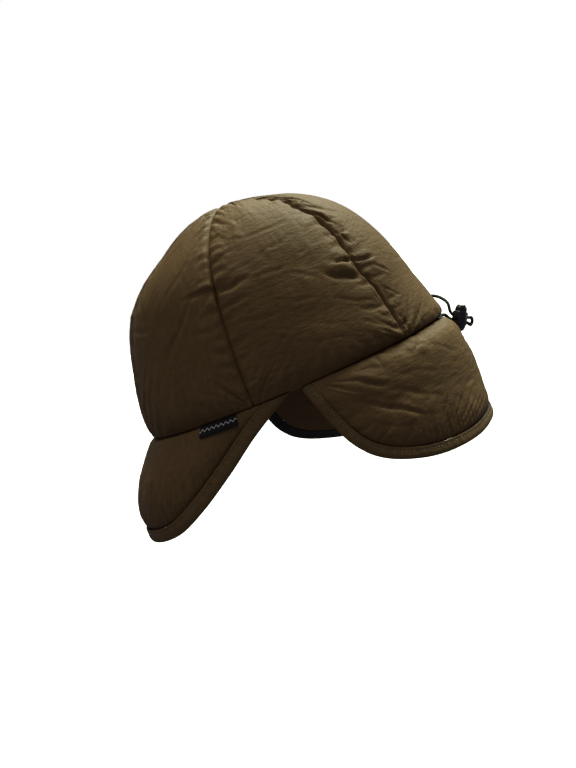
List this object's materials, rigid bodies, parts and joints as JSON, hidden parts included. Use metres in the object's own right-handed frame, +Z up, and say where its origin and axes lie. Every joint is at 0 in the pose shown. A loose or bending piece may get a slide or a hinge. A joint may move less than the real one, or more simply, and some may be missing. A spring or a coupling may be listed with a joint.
{
  "type": "padded bomber hat",
  "caption": "Padded fabric bomber hat with a panelled crown, a soft drooping visor, a wide neck and ear flap, bound edges, a rim drawcord and a ball-topped cord lock.",
  "frame": {"origin": "centre of the rim seam, in the plane of the seam, where the hat sits on a head", "axes": "+Z up through the crown, -Y towards the visor, +Y towards the neck flap, +X towards the wearer's left"},
  "size_m": [0.2089, 0.2589, 0.1951],
  "materials": {
    "shell_fabric": "crinkled nylon shell over padding, soft sheen",
    "binding_fabric": "folded nylon binding with topstitching, matt",
    "label_fabric": "damask woven label, bare, matt",
    "cord_elastic": "braided elastic cord, matt",
    "lock_plastic": "moulded acetal, glossy"
  },
  "bodies": {
    "hat": {"crown_panel_1": "shell_fabric", "crown_panel_2": "shell_fabric", "crown_panel_3": "shell_fabric", "crown_panel_4": "shell_fabric", "crown_panel_5": "shell_fabric", "crown_panel_6": "shell_fabric", "visor": "shell_fabric", "visor_binding": "binding_fabric", "neck_flap": "shell_fabric", "neck_flap_binding": "binding_fabric", "label": "label_fabric", "drawcord": "cord_elastic", "toggle_barrel": "lock_plastic"},
    "button": {"toggle_button": "lock_plastic"}
  },
  "joints": [
    {"name": "button_press", "type": "slide", "parent": "hat", "child": "button", "axis": [0, -0.5446, -0.8387], "range_m": [0, 0.0025], "stiffness_N_per_m": 600, "springref_m": -0.001}
  ]
}
